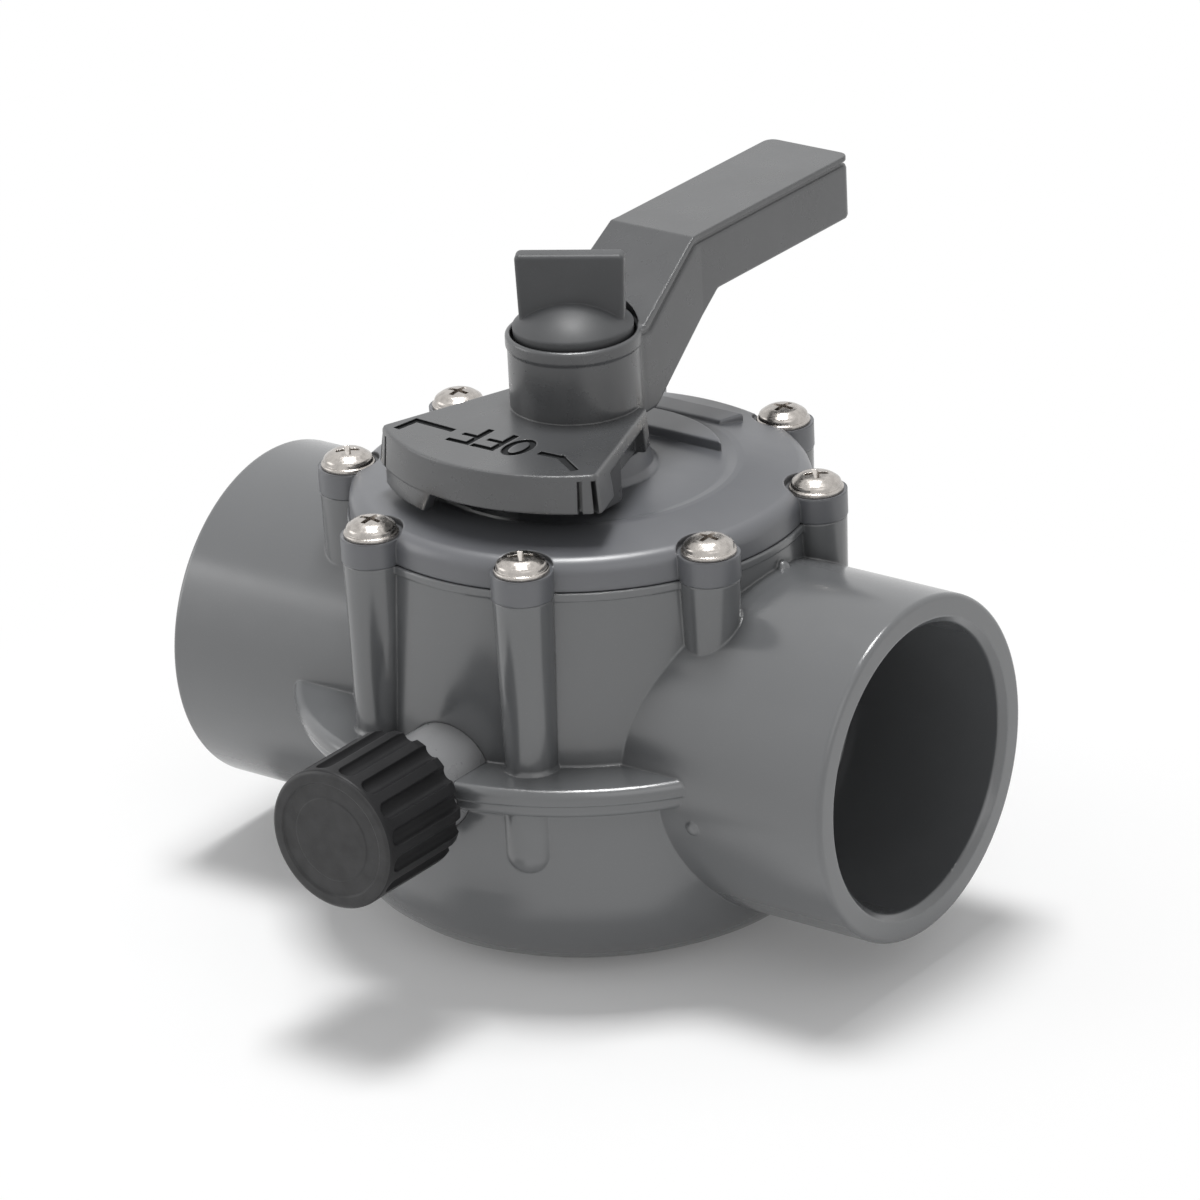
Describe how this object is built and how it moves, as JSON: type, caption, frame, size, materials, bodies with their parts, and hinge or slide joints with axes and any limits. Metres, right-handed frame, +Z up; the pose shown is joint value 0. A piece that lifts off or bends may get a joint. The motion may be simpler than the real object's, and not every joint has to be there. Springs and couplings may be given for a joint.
{
  "type": "pipe diverter valve",
  "caption": "Moulded pipe diverter valve with in-line slip sockets, a small capped outlet, a screwed-down cover and a turning gate worked by a lever handle with a lock knob.",
  "frame": {"origin": "centre of the flat base, on the stem axis", "axes": "+X out of the right pipe socket along the port line, -Y out of the capped outlet, +Z up along the stem"},
  "size_m": [0.1664, 0.1744, 0.1411],
  "materials": {
    "housing": "satin",
    "cover": "satin",
    "nipple": "satin",
    "bearing": "matt",
    "seal": "matt",
    "screws": "bright",
    "gate": "satin",
    "insert": "turned",
    "handle": "satin",
    "knob": "satin",
    "cap": "satin"
  },
  "bodies": {
    "valve_body": {"housing": "housing", "outlet_nipple": "nipple", "floor_bushing": "bearing", "cover": "cover", "cover_bushing": "bearing", "cover_seal_ring": "seal", "cover_screws": "screws"},
    "rotor": {"diverter": "gate", "diverter_seal": "seal", "stem_seal_lower": "seal", "stem_seal_upper": "seal", "thrust_washer": "bearing", "wear_washer": "bearing", "stem_insert": "insert", "handle": "handle"},
    "knob_carrier": {"knob_washer": "screws"},
    "knob": {"lock_knob": "knob", "knob_stud": "screws"},
    "cap_carrier": {"outlet_gasket": "seal"},
    "cap": {"outlet_cap": "cap"}
  },
  "joints": [
    {"name": "valve_turn", "type": "hinge", "parent": "valve_body", "child": "rotor", "pos_m": [0, 0, 0.0445], "axis": [0, 0, 1], "range_deg": [-90, 90]},
    {"name": "knob_lift", "type": "slide", "parent": "rotor", "child": "knob_carrier", "axis": [0, 0, 1], "range_m": [0, 0.002]},
    {"name": "knob_turn", "type": "hinge", "parent": "knob_carrier", "child": "knob", "pos_m": [0, 0, 0.125], "axis": [0, 0, 1], "range_deg": [0, 720]},
    {"name": "cap_slide", "type": "slide", "parent": "valve_body", "child": "cap_carrier", "axis": [0, -1, 0], "range_m": [0, 0.00545]},
    {"name": "cap_turn", "type": "hinge", "parent": "cap_carrier", "child": "cap", "pos_m": [0, -0.0767, 0.0445], "axis": [0, -1, 0], "range_deg": [0, 1080]}
  ],
  "couplings": [
    {"joint": "knob_lift", "follows": "knob_turn", "m_per_rad": 0.00015915},
    {"joint": "cap_slide", "follows": "cap_turn", "m_per_rad": 0.00028871}
  ]
}
